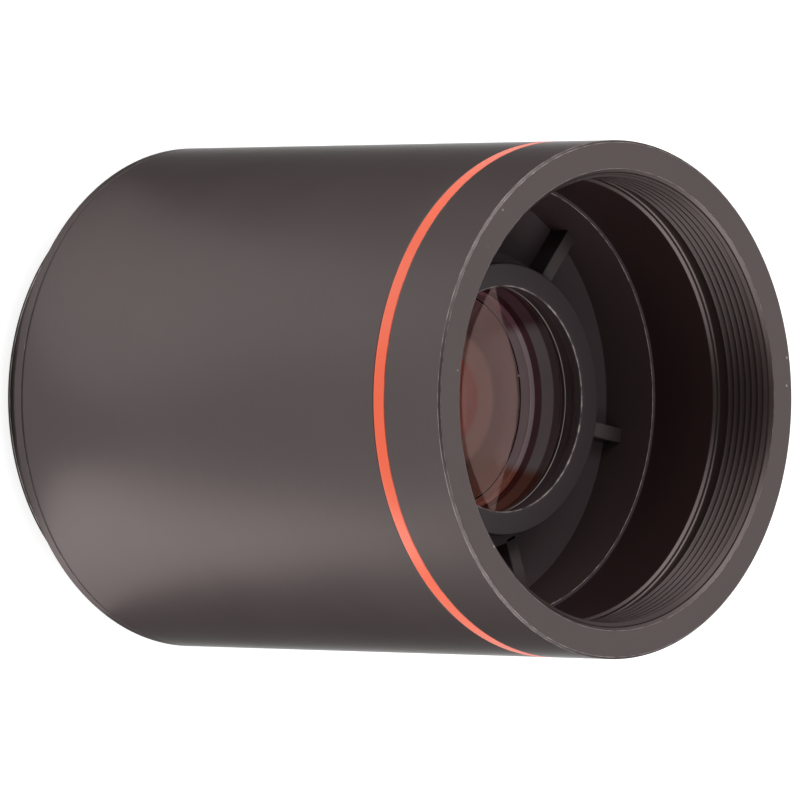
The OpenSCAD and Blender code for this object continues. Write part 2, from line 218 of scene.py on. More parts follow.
class FinishColours(bpy.types.PropertyGroup):
    """Colours of the finishes."""

    anodised: colour("Anodised", "Satin black of the body", (0.106, 0.089, 0.088))
    thread: colour("Thread", "Front thread and its groove", (0.02, 0.0125, 0.012))
    # A lighter copy of the body's anodise on the up-facing rim face: painted light; its specks are
    # dust
    rim: colour("Rim", "Face of the front rim", (0.137, 0.113, 0.112))
    # Also paints highlight lines on the rim chamfer, the nose's inner edge and the seat ring's
    # edges
    worn: colour("Worn edge", "Bare metal on worn edges", (0.42, 0.38, 0.36))
    accent: colour("Accent", "Coloured ring", (0.93, 0.095, 0.012))
    # Painted shade: a darker red laid on the coloured ring's edges through the edge mask
    accent_edge_painted_shade: colour("Accent edge", "Edges of the coloured ring", (0.5, 0.035, 0.015))
    moulding: colour("Moulding", "Black moulding of the carrier", (0.083, 0.059, 0.065))
    # Painted shade: the recess wall is a darker copy of the moulding
    recess: colour("Recess", "Wall of the recess", (0.045, 0.027, 0.027))
    # Painted light: the rib tops are a lighter copy of the moulding
    rib: colour("Rib", "Tops of the ribs", (0.108, 0.083, 0.086))
    moulding_edge: colour("Moulding edge", "Edges of the moulding", (0.4, 0.36, 0.35))
    blackened: colour("Blackened", "Blackened metal inside", (0.026, 0.017, 0.016))
    nose: colour("Nose ring", "Ring in front of the front glass", (0.041, 0.029, 0.033))
    # Painted shade: the well is darker than the body's anodise
    well: colour("Well", "Smooth wall of the front well", (0.021, 0.01, 0.01))
    brass: colour("Brass", "Focus shim", (0.69, 0.53, 0.3))
    glass: colour("Glass", "Tint of the glass", (0.97, 0.9, 0.88))
    coating: colour("Coating", "Reflection of the coating", (1.0, 0.62, 0.55))
    back_coating: colour("Back coating", "Coating behind the front group", (1.0, 0.27, 0.17))
    # Painted reflection on that coating: red middle, pink ring, brown outside
    painted_reflection_red: colour("Warm red", "Middle of that coating", (1.0, 0.16, 0.1))
    painted_reflection_pink: colour("Warm pink", "Ring around its middle", (1.0, 0.5, 0.42))
    painted_reflection_brown: colour("Warm brown", "Outer part of that coating", (0.38, 0.19, 0.145))
    ground: colour("Ground edge", "Ground edge of a glass", (0.04, 0.025, 0.025))
    # Band tones of the front group's edge, partly painted light, the pale band most
    pale: colour("Pale band", "Bare ground band of the front group", (0.78, 0.67, 0.72))
    plum: colour("Plum band", "Plum band of the front group", (0.2, 0.1, 0.13))
    grey: colour("Grey band", "Grey band of the front group", (0.44, 0.43, 0.46))
    brown: colour("Brown band", "Brown band of the front group", (0.19, 0.155, 0.17))
    # Painted shade over the left and the right ends of those bands
    left_painted_shade: colour("Left shade", "Shade over the left of these bands", (0.45, 0.25, 0.3))
    right_painted_shade: colour("Right shade", "Shade over the right of these bands", (0.7, 0.3, 0.2))
    dust: colour("Dust", "Dust specks", (0.4, 0.37, 0.35))


class StageSettings(bpy.types.PropertyGroup):
    """Floor, light and camera."""

    floor_r: length("Floor radius", "Radius of the floor", 3000.0)
    floor_tone: share("Floor tone", "Share of light that the floor gives back", 0.7)
    floor_white: share("Floor white", "White added to the floor for the camera", 0.68)
    floor_glow: share("Floor glow", "White added for glossy and transmitted rays", 0.2)
    fill: amount("Fill", "Strength of the surrounding light", 0.5)
    key: amount("Key", "Power of the soft light at the right", 2.2)
    side: amount("Side", "Power of the soft light at the left", 2.2)
    card_r: length("Card distance", "Distance of the dark card over the camera", 1200.0)
    card_w: length("Card width", "Half the width of the dark card", 1100.0)
    strip: amount("Strips", "Brightness of the two strips on the floor", 1.6)
    strip_l: length("Strip length", "Length of the two strips on the floor", 60.0)
    lens: bpy.props.FloatProperty(
        name="Lens", description="Focal length of the camera in millimetres",
        default=436.4, min=1.0,
    )


# Surfaces worked out as whole arrays

MOST_CUT = 0.28  # share of a side that a rounding may take
PLAIN_ROW = 1.6  # distance of the plain rows from a corner, in roundings
STANDARD_FORM = (0.25, 0.5625, 0.6875)  # phases where crest, flank and root of a thread end
LIT_FORM = (0.2, 0.6, 0.66)  # the same with a wide upper flank
STUB_RELIEF = 0.5 * MM  # plain length between the rear thread and the shoulder


def rounded_rows(outline, rounding):
    """Rows (radius, height) of a closed outline whose corners are rounded.

    Each corner P takes a quadratic curve (1-s)^2 A + 2 s (1-s) P + s^2 B between the points
    A and B one rounding away from it, with a plain row a little outside A and B, so that
    shading on the long faces stays flat. A corner with rounding 0 is a single row.
    Returns the rows in counter-clockwise order and, for each, how worn its edge is; on some edges
    that number also lays a painted highlight or painted shade.
    """
    full = np.array([tuple(p) + (rounding, 1.0)[len(p) - 2:] for p in outline], float)
    following = np.roll(full[:, :2], -1, 0)
    area = np.sum(full[:, 0] * following[:, 1] - following[:, 0] * full[:, 1])
    if area < 0:
        full = full[::-1]
    corner, radius, wear = full[:, :2], full[:, 2], full[:, 3]
    into = corner - np.roll(corner, 1, 0)
    away = np.roll(corner, -1, 0) - corner
    into_l, away_l = np.hypot(*into.T), np.hypot(*away.T)
    into, away = into / into_l[:, None], away / away_l[:, None]
    cut = np.minimum(radius, MOST_CUT * np.minimum(into_l, away_l))
    s = np.linspace(0.0, 1.0, 5)[None, :, None]
    p = corner[:, None, :]
    a = p - (cut[:, None] * into)[:, None, :]
    b = p + (cut[:, None] * away)[:, None, :]
    curve = (1 - s) ** 2 * a + 2 * s * (1 - s) * p + s ** 2 * b
    outside = PLAIN_ROW * cut[:, None]
    rows = np.concatenate([
        (corner - outside * into)[:, None, :], curve, (corner + outside * away)[:, None, :]
    ], 1)
    convex = into[:, 0] * away[:, 1] - into[:, 1] * away[:, 0] > 0
    bend = np.array([0.0, 0.0, 0.75, 1.0, 0.75, 0.0, 0.0])
    edge = bend[None, :] * (wear * convex)[:, None]
    keep = np.ones(rows.shape[:2], bool)
    keep[radius == 0] = np.arange(7) == 3
    edge[radius == 0] = 0.0
    return rows[keep], edge[keep]


def turned(rows, edge, columns, warp=None, finish=None):
    """A surface turned about the axis: x = r cos t, y = r sin t, z = h for each row (r, h).

    Rows run counter-clockwise in the (r, h) plane. They close on themselves, or, where the
    first and last lie on the axis, end there in one point each. warp(r, z, t) may change the
    radius, as a thread does, and finish(r, z) gives each strip of faces its finish number.
    """
    poles = rows[0, 0] == 0 and rows[-1, 0] == 0
    rings = rows[1:-1] if poles else rows
    ring_edge = edge[1:-1] if poles else edge
    count = len(rings)
    t = 2 * np.pi * np.arange(columns) / columns
    r = np.repeat(rings[:, :1], columns, 1)
    z = np.repeat(rings[:, 1:], columns, 1)
    if warp:
        r = warp(r, z, t[None, :])
    points = np.stack([r * np.cos(t), r * np.sin(t), z], -1).reshape(-1, 3)
    i = np.arange(count - 1 if poles else count)[:, None]
    j = np.arange(columns)[None, :]
    after, right = (i + 1) % count, (j + 1) % columns
    quads = np.stack(np.broadcast_arrays(
        i * columns + j, i * columns + right, after * columns + right, after * columns + j
    ), -1).reshape(-1, 4)
    middle = (rings[i[:, 0]] + rings[after[:, 0]]) / 2
    strip = finish(middle[:, 0], middle[:, 1]) if finish else np.zeros(len(middle), int)
    corners, sizes = quads.ravel(), np.full(len(quads), 4)
    numbers = np.repeat(strip, columns)
    worn = np.repeat(ring_edge, columns)
    if poles:
        tips = np.array([[0, 0, rows[0, 1]], [0, 0, rows[-1, 1]]])
        base = len(points)
        last = (count - 1) * columns
        j, right = j[0], right[0]
        lower = np.stack([np.full(columns, base), right, j], -1)
        upper = np.stack([np.full(columns, base + 1), last + j, last + right], -1)
        points = np.concatenate([points, tips])
        corners = np.concatenate([corners, lower.ravel(), upper.ravel()])
        sizes = np.concatenate([sizes, np.full(2 * columns, 3)])
        ends = finish(rows[[0, -1], 0], rows[[0, -1], 1]) if finish else np.zeros(2, int)
        numbers = np.concatenate([numbers, np.repeat(ends, columns)])
        worn = np.concatenate([worn, edge[[0, -1]]])
    return {
        "points": points, "corners": corners, "sizes": sizes, "finish": numbers, "edge": worn,
    }


def spokes(rows, edge, inner, outer, angles, top_finish):
    """Bars along radial paths: the closed outline of rows (offset, height) is carried from
    radius inner to radius outer at each angle a, so x = p cos a - d sin a and
    y = p sin a + d cos a for offset d at radius p. Flat caps close both ends, and the faces
    along the top take top_finish.
    """
    n, k = len(rows), len(angles)
    a = np.asarray(angles)[:, None, None]
    p = np.array([inner, outer])[None, :, None]
    d = rows[None, None, :, 0]
    z = np.broadcast_to(rows[None, None, :, 1], (k, 2, n))
    x, y = p * np.cos(a) - d * np.sin(a), p * np.sin(a) + d * np.cos(a)
    points = np.stack([x, y, z], -1).reshape(-1, 3)
    start = (2 * n * np.arange(k))[:, None]
    i = np.arange(n)[None, :]
    after = (i + 1) % n
    sides = np.stack([start + i, start + n + i, start + n + after, start + after], -1)
    sides = sides.reshape(-1, 4)
    near, far = start + i[:, ::-1], start + n + i
    corners = np.concatenate([sides[:, ::-1].ravel(), near.ravel(), far.ravel()])
    sizes = np.concatenate([np.full(len(sides), 4), np.full(2 * k, n)])
    level = (rows[:, 1] + np.roll(rows[:, 1], -1)) / 2
    top = np.where(level > rows[:, 1].max() - 2.5 * NEAR, top_finish, 0)
    finish = np.concatenate([np.tile(top, k), np.zeros(2 * k, int)])
    return {
        "points": points, "corners": corners, "sizes": sizes, "finish": finish,
        "edge": np.tile(edge, 2 * k),
    }


def make_piece(name, surfaces, finishes, slot, *nodes):
    """Puts surfaces into one mesh, gives it its finishes, and stands it for CAD nodes."""
    starts = np.cumsum([0] + [len(s["points"]) for s in surfaces])
    corners = np.concatenate([s["corners"] + o for s, o in zip(surfaces, starts)])
    points, sizes, numbers, wear = (
        np.concatenate([s[key] for s in surfaces]) for key in ("points", "sizes", "finish", "edge")
    )
    loops = np.concatenate([[0], np.cumsum(sizes)[:-1]])
    mesh = bpy.data.meshes.new(name)
    mesh.vertices.add(len(points))
    mesh.vertices.foreach_set("co", points.astype(np.float32).ravel())
    mesh.loops.add(len(corners))
    mesh.loops.foreach_set("vertex_index", corners.astype(np.int32))
    mesh.polygons.add(len(sizes))
    mesh.polygons.foreach_set("loop_start", loops.astype(np.int32))
    mesh.polygons.foreach_set("material_index", numbers.astype(np.int32))
    worn = mesh.attributes.new("edge", "FLOAT", "POINT")
    worn.data.foreach_set("value", wear.astype(np.float32))
    for finish in finishes:
        mesh.materials.append(finish)
    mesh.update(calc_edges=True)
    if mesh.validate():
        raise RuntimeError(name + " has broken faces")
    mesh.shade_smooth()
    piece = bpy.data.objects.new(name, mesh)
    bpy.context.scene.collection.objects.link(piece)
    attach(piece, BODY)
    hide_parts(*nodes)


def plain_ring(name, cad, inner, finish, slot, softness=1.0):
    """Turns a ring of rectangular section that fills its CAD node from the radius inner."""
    t = bpy.context.scene.tc_turning
    low, high, r = extent(cad)
    section = [(inner, low), (r, low), (r, high), (inner, high)]
    surface = turned(*rounded_rows(section, softness * t.edge), t.columns)
    make_piece(name, [surface], [solid_finish(finish)], slot, cad)


def thread_form(phase, form):
    """Share of the thread depth at a phase of the pitch: crest flat, flank, root flat, flank."""
    return np.interp(phase % 1.0, [0.0, *form, 1.0], [0.0, 0.0, 1.0, 1.0, 0.0])


def smooth_step(low, high, value):
    """3 s^2 - 2 s^3 of the share s that value has covered from low to high."""
    s = np.clip((value - low) / (high - low), 0.0, 1.0)
    return s * s * (3 - 2 * s)


def sag(curve, r):
    """Depth of a round surface at radius r."""
    return curve - np.sqrt(curve * curve - r * r)


# Finishes

def node(tree, kind, inputs=None, **settings):
    """Adds a node, sets its properties, and fills its inputs with values or links."""
    made = tree.nodes.new(kind)
    for key, value in settings.items():
        setattr(made, key, value)
    for key, value in (inputs or {}).items():
        if isinstance(value, bpy.types.NodeSocket):
            tree.links.new(value, made.inputs[key])
        else:
            made.inputs[key].default_value = value
    return made


def maths(tree, operation, *values):
    """Result of a Math node."""
    return node(tree, "ShaderNodeMath", dict(enumerate(values)), operation=operation).outputs[0]


def ramp(tree, value, low, high, to_low=0.0, to_high=1.0):
    """Smooth step of a value from one range to another."""
    return node(
        tree, "ShaderNodeMapRange", {0: value, 1: low, 2: high, 3: to_low, 4: to_high},
        interpolation_type="SMOOTHSTEP",
    ).outputs[0]


def blend(tree, factor, first, second, kind="MIX"):
    """Mix of two colours."""
    inputs = {0: factor, 6: first, 7: second}
    return node(tree, "ShaderNodeMix", inputs, data_type="RGBA", blend_type=kind).outputs[2]


def rgba(value):
    """A colour with full alpha."""
    return (*value, 1.0)


def shared_group(name, inputs, output):
    """An empty shader node group with number inputs and one number output."""
    tree = bpy.data.node_groups.new(name, "ShaderNodeTree")
    number = "NodeSocketFloat"
    for label, value in inputs.items():
        socket = tree.interface.new_socket(label, in_out="INPUT", socket_type=number)
        socket.default_value = value
    tree.interface.new_socket(output, in_out="OUTPUT", socket_type=number)
    given, result = tree.nodes.new("NodeGroupInput"), tree.nodes.new("NodeGroupOutput")
    return tree, given.outputs, result.inputs


def object_place(tree):
    """Place on the piece."""
    return node(tree, "ShaderNodeTexCoord").outputs["Object"]


@cache
def turning_marks():
    """Fine rings of the lathe: 4-D noise of radius, height and the direction round the axis."""
    inputs = {"Frequency": 9000.0, "Sweep": 1.5}
    tree, given, result = shared_group("turning_marks", inputs, "Height")
    xyz = node(tree, "ShaderNodeSeparateXYZ", {0: object_place(tree)}).outputs
    flat = node(tree, "ShaderNodeCombineXYZ", {0: xyz[0], 1: xyz[1]}).outputs[0]
    radius = node(tree, "ShaderNodeVectorMath", {0: flat}, operation="LENGTH").outputs["Value"]
    way = node(tree, "ShaderNodeVectorMath", {0: flat}, operation="NORMALIZE").outputs[0]
    way = node(tree, "ShaderNodeSeparateXYZ", {0: way}).outputs
    place = node(tree, "ShaderNodeCombineXYZ", {
        0: maths(tree, "MULTIPLY", radius, given["Frequency"]),
        1: maths(tree, "MULTIPLY", xyz[2], given["Frequency"]),
        2: maths(tree, "MULTIPLY", way[0], given["Sweep"]),
    }).outputs[0]
    rings = node(tree, "ShaderNodeTexNoise", {
        "Vector": place, "W": maths(tree, "MULTIPLY", way[1], given["Sweep"]),
        "Scale": 1.0, "Detail": 2.0,
    }, noise_dimensions="4D")
    tree.links.new(rings.outputs[0], result["Height"])
    return tree


@cache
def edge_wear():
    """Edge mask: real wear on edges, and on some edges painted highlights and painted shade; the
    piece's own edge attribute broken up by noise.
    """
    tree, given, result = shared_group("edge_wear", {"Scale": 700.0, "Cover": 0.5}, "Mask")
    edge = node(tree, "ShaderNodeAttribute", attribute_name="edge").outputs["Fac"]
    grain = node(tree, "ShaderNodeTexNoise", {
        "Vector": object_place(tree), "Scale": given["Scale"], "Detail": 3.0,
    }).outputs[0]
    level = maths(tree, "MULTIPLY", edge, maths(tree, "ADD", grain, 0.5))
    start = maths(tree, "SUBTRACT", 1.2, given["Cover"])
    mask = ramp(tree, level, start, maths(tree, "ADD", start, 0.3))
    tree.links.new(mask, result["Mask"])
    return tree


@cache
def dust_specks():
    """Small scattered specks: the middles of some cells of a cell pattern."""
    inputs = {"Scale": 900.0, "Size": 0.12, "Share": 0.1}
    tree, given, result = shared_group("dust_specks", inputs, "Mask")
    cells = node(tree, "ShaderNodeTexVoronoi", {
        "Vector": object_place(tree), "Scale": given["Scale"],
    })
    lot = node(tree, "ShaderNodeSeparateColor", {0: cells.outputs["Color"]}).outputs
    reach = maths(tree, "MULTIPLY", given["Size"], maths(tree, "ADD", lot[1], 0.3))
    near = maths(tree, "LESS_THAN", cells.outputs["Distance"], reach)
    chosen = maths(tree, "LESS_THAN", lot[0], given["Share"])
    tree.links.new(maths(tree, "MULTIPLY", near, chosen), result["Mask"])
    return tree


@cache
def mottle():
    """Soft patches of slightly different tone."""
    tree, given, result = shared_group("mottle", {"Scale": 60.0, "Contrast": 0.5}, "Patch")
    cloud = node(tree, "ShaderNodeTexNoise", {
        "Vector": object_place(tree), "Scale": given["Scale"], "Detail": 4.0,
    }).outputs[0]
    half = maths(tree, "MULTIPLY", given["Contrast"], 0.5)
    dark, light = maths(tree, "SUBTRACT", 0.5, half), maths(tree, "ADD", 0.5, half)
    patch = ramp(tree, cloud, 0.3, 0.7, dark, light)
    tree.links.new(patch, result["Patch"])
    return tree


def group_value(tree, group, **values):
    """Output of a shared group placed in a material with its own values."""
    placed = node(tree, "ShaderNodeGroup", node_tree=group)
    for label, value in values.items():
        placed.inputs[label].default_value = value
    return placed.outputs[0]


def bare_tree(owner):
    """Node tree of a material or of the world, with nothing in it."""
    owner.use_nodes = True
    owner.node_tree.nodes.clear()
    return owner.node_tree


def new_material(name):
    """A material and its empty node tree."""
    material = bpy.data.materials.new(name)
    return material, bare_tree(material)


def end_in(tree, shader, output="ShaderNodeOutputMaterial"):
    """Puts a shader on the output of its node tree."""
    node(tree, output, {"Surface": shader.outputs[0]})


def principled(tree, inputs):
    """Ends a material in a Principled shader with these inputs."""
    end_in(tree, node(tree, "ShaderNodeBsdfPrincipled", inputs))


PATCH_DARK, PATCH_LIGHT, MARK_LIGHT = 0.86, 1.14, 1.5  # shares of the tone
ROUGH_SPREAD = 0.08  # roughness that patches and marks add
MARK_DEPTH = 0.02 * MM
GLEAM_POWER, GLEAM_ROUGHNESS = 11.0, 0.12


def solid_look(name, tone, worn, rough, metallic=0.0, specular=0.5, graze=1.0, marks=0.3,
               frequency=9000.0, cover=0.5, specks=0.0, patches=0.3, bump=0.15, gleam=0.0):
    """An opaque finish: soft patches, turning marks, worn edges and dust over one tone. Some worn
    edges also carry painted highlights, and the coloured ring's edges painted shade.

    With some gleam, a clear coat shows where the surface turns away from the eye.
    """
    material, tree = new_material(name)
    tone = np.array(tone)
    patch = group_value(tree, mottle(), Scale=70.0, Contrast=patches)
    rings = group_value(tree, turning_marks(), Frequency=frequency, Sweep=1.5)
    wear = group_value(tree, edge_wear(), Scale=900.0, Cover=cover)
    dust = group_value(tree, dust_specks(), Scale=1500.0, Size=0.2, Share=specks)
    lit = maths(tree, "MULTIPLY", rings, marks)
    base = blend(tree, patch, rgba(tone * PATCH_DARK), rgba(tone * PATCH_LIGHT))
    base = blend(tree, lit, base, rgba(tone * MARK_LIGHT))
    base = blend(tree, wear, base, rgba(worn))
    base = blend(tree, dust, base, rgba(bpy.context.scene.tc_colours.dust))
    spread = maths(tree, "MULTIPLY_ADD", patch, ROUGH_SPREAD, rough - ROUGH_SPREAD)
    relief = node(tree, "ShaderNodeBump", {
        "Strength": bump, "Distance": MARK_DEPTH, "Height": rings,
    })
    inputs = {
        "Base Color": base,
        "Roughness": maths(tree, "MULTIPLY_ADD", rings, ROUGH_SPREAD, spread),
        "Normal": relief.outputs[0],
        "Metallic": metallic,
        "Specular IOR Level": specular,
        "Specular Tint": rgba(np.ones(3) * graze),
    }
    if gleam:
        facing = node(tree, "ShaderNodeLayerWeight", {"Blend": 0.5}).outputs["Facing"]
        slant = maths(tree, "POWER", facing, GLEAM_POWER)
        inputs["Coat Weight"] = maths(tree, "MULTIPLY", slant, gleam)
        inputs["Coat Roughness"] = GLEAM_ROUGHNESS
    principled(tree, inputs)
    return material


SATIN = {"metallic": 1.0, "graze": 0.33}
CUT_METAL = {"graze": (1.0, 0.84, 0.81)}
BLACKENED = {"specular": 0.4, "cover": 0.6}
MOULDED = {"specular": 0.4, "marks": 0.1, "frequency": 5000.0, "cover": 0.45}
PAINTED = {"specular": 0.9, "marks": 0.08, "specks": 0.01, "patches": 0.2}
# Tone, tone of the worn edges (for some finishes a painted highlight or painted shade colour),
# roughness and what else differs from the common look
SOLID_FINISHES = {
    "satin_black_anodised": ("anodised", "worn", 0.45, {**SATIN, "gleam": 0.9}),
    "dusty_rim_metal": ("rim", "worn", 0.45, {**SATIN, "specks": 0.06}),
    "dark_thread_metal": ("thread", "worn", 0.36, {**CUT_METAL, "specular": 0.52}),
    "dark_groove_metal": ("thread", "worn", 0.36, {**CUT_METAL, "specular": 0.9}),
    # Painted shade in the deep well
    "flat_black_well": ("well", "worn", 0.45, {"specular": 0.3}),
    "blackened_metal": ("blackened", "worn", 0.45, BLACKENED),
    "blackened_nose_metal": ("nose", "worn", 0.45, BLACKENED),
    # High cover: the worn edges paint bright highlight lines over real wear
    "black_seat_ring": ("blackened", "worn", 0.45, {"specular": 0.4, "cover": 0.95}),
    "flat_black_inside": (
        "blackened", "blackened", 0.8, {"specular": 0.2, "marks": 0.0, "bump": 0.0}
    ),
    "moulded_black_plastic": ("moulding", "moulding_edge", 0.5, MOULDED),
    # Recess wall with painted shade, rib tops with painted light
    "moulded_recess_wall": ("recess", "moulding_edge", 0.5, MOULDED),
    "moulded_rib_top": ("rib", "moulding_edge", 0.5, MOULDED),
    # Its worn edge tone is painted shade on the ring's edges
    "orange_red_paint": ("accent", "accent_edge_painted_shade", 0.3, PAINTED),
    "rolled_brass": ("brass", "brass", 0.35, {"metallic": 1.0, "marks": 0.15}),
}


@cache
def solid_finish(name):
    """One of the solid finishes, made once."""
    tone, worn, rough, look = SOLID_FINISHES[name]
    c = bpy.context.scene.tc_colours
    return solid_look(name, getattr(c, tone), getattr(c, worn), rough, **look)


@cache
def polished_finish():
    """Coated glass: warm reflection, slight smears."""
    c = bpy.context.scene.tc_colours
    material, tree = new_material("polished_coated_glass")
    smear = group_value(tree, mottle(), Scale=160.0, Contrast=1.0)
    dust = group_value(tree, dust_specks(), Scale=900.0, Size=0.1, Share=0.03)
    tint = np.array(c.glass)
    base = blend(tree, smear, rgba(tint * 0.97), rgba(tint))
    haze = maths(tree, "MULTIPLY", smear, 0.02)
    principled(tree, {
        "Base Color": blend(tree, dust, base, rgba(c.dust)),
        "Roughness": maths(tree, "MULTIPLY_ADD", dust, 0.3, haze),
        "Transmission Weight": 1.0,
        "IOR": 1.6,
        "Specular Tint": rgba(c.coating),
    })
    return material


@cache
def warm_painted_reflection():
    """Hazy warm coating behind the front group, with a painted reflection on it: red in the middle,
    paler rings outwards.
    """
    c, s = bpy.context.scene.tc_colours, bpy.context.scene.tc_glass
    material, tree = new_material("warm_coated_glass")
    place = node(tree, "ShaderNodeVectorMath", {
        0: object_place(tree), 1: (1.0, 1.0, 0.0),
    }, operation="MULTIPLY").outputs[0]
    radius = node(tree, "ShaderNodeVectorMath", {0: place}, operation="LENGTH").outputs["Value"]
    # Painted reflection: a red middle, a pink ring and brown outside
    base, soft = rgba(c.painted_reflection_red), 0.5 * MM
    for border, tone in ((s.painted_red_r, c.painted_reflection_pink), (s.painted_pink_r, c.painted_reflection_brown)):
        base = blend(tree, ramp(tree, radius, border - soft, border + soft), base, rgba(tone))
    smear = group_value(tree, mottle(), Scale=160.0, Contrast=1.0)
    principled(tree, {
        "Base Color": base,
        "Roughness": maths(tree, "MULTIPLY_ADD", smear, 0.05, 0.28),
        "Transmission Weight": 0.6,
        "IOR": 2.0,
        "Specular Tint": rgba(c.back_coating),
    })
    return material


# Where the painted shade over the glass edge bands starts and where it is full
PAINTED_SHADE_START, PAINTED_SHADE_FULL = 0.56, 0.68  # shares of the glass radius


@cache
def ground_edge_painted_light():
    """Ground edge of a glass, with the bands that the front group shows through its face: partly
    the edge's own tones, partly painted light, with painted shade at both sides.
    """
    c, s = bpy.context.scene.tc_colours, bpy.context.scene.tc_glass
    material, tree = new_material("ground_glass_edge")
    across, _, height = node(tree, "ShaderNodeSeparateXYZ", {0: object_place(tree)}).outputs
    base, start, soft = rgba(c.brown), high_z("front_glass"), 0.06 * MM
    # Painted light: the bands are far lighter than the ground edge's own tone, the pale band most,
    # to stand in for light reaching the edge through the glass.
    bands = (
        (s.brown_w, c.grey), (s.grey_w, c.plum), (s.plum_w, c.pale), (s.pale_w, c.ground),
    )
    for width, tone in bands:
        start -= width
        behind = ramp(tree, height, start - soft, start + soft, 1.0, 0.0)
        base = blend(tree, behind, base, rgba(tone))
    half = outer_r("front_glass")
    # Painted shade: the bands darken and tint towards the left and the right of the glass.
    for side, painted_shade in ((-1.0, c.left_painted_shade), (1.0, c.right_painted_shade)):
        place = maths(tree, "MULTIPLY", across, side)
        painted_shade_mask = ramp(tree, place, PAINTED_SHADE_START * half, PAINTED_SHADE_FULL * half)
        base = blend(tree, painted_shade_mask, base, rgba(painted_shade), "MULTIPLY")
    rings = group_value(tree, turning_marks(), Frequency=4000.0, Sweep=1.5)
    dark = maths(tree, "MULTIPLY", rings, 0.15)
    principled(tree, {
        "Base Color": blend(tree, dark, base, (0.0, 0.0, 0.0, 1.0)),
        "Roughness": maths(tree, "MULTIPLY_ADD", rings, 0.1, 0.65),
        "Specular IOR Level": 0.2,
    })
    return material


@cache
def cement_finish():
    """Clear cement between two bonded glasses."""
    material, tree = new_material("clear_cement")
    patch = group_value(tree, mottle(), Scale=90.0, Contrast=0.6)
    tint = np.array(bpy.context.scene.tc_colours.glass)
    principled(tree, {
        "Base Color": blend(tree, patch, rgba(tint * 0.9), rgba(tint)),
        "Alpha": maths(tree, "MULTIPLY", patch, 0.02),
        "Roughness": 0.6,
    })
    return material


# Pieces

class TELECONVERTER_OT_barrel(bpy.types.Operator):
    """Turn the outer barrel and the coloured ring in front of it"""

    bl_idname = "teleconverter.barrel"
    bl_label = "Barrel and coloured ring"

    def execute(self, context):
        t, s = context.scene.tc_turning, context.scene.tc_body
        low, high, r = extent("main_barrel")
        rear_ledge, front_ledge = high_z("rear_mount"), low_z("focus_shim")
        line = low + s.line_h
        rows, edge = rounded_rows([
            (s.joint_bore, low), (s.joint_bore, rear_ledge), (s.middle_bore, rear_ledge),
            (s.middle_bore, front_ledge), (s.joint_bore, front_ledge), (s.joint_bore, high),
            (r, high, t.edge, 0.6), (r, line + s.line_w / 2, t.edge, 0.7),
            (r - s.line_depth, line, 0.0), (r, line - s.line_w / 2, t.edge, 0.7),
            (r, low + s.shoulder_chamfer, t.edge, 0.8), (r - s.shoulder_chamfer, low, t.edge, 0.8),
        ], t.edge)

        def zone(p, z):
            """The fine line is dark."""
            outside = p > (s.joint_bore + r) / 2
            return ((np.abs(z - line) < s.line_w / 2) & outside).astype(int)

        finishes = [solid_finish("satin_black_anodised"), solid_finish("blackened_metal")]
        make_piece("barrel_tube", [turned(rows, edge, t.columns, None, zone)], finishes,
                   "black_anodised", "main_barrel")
        # The coloured ring's edges take the darker accent edge tone through the edge mask: painted
        # shade
        plain_ring("coloured_ring", "accent_ring", s.neck, "orange_red_paint", "orange_red", 1.5)
        return {"FINISHED"}


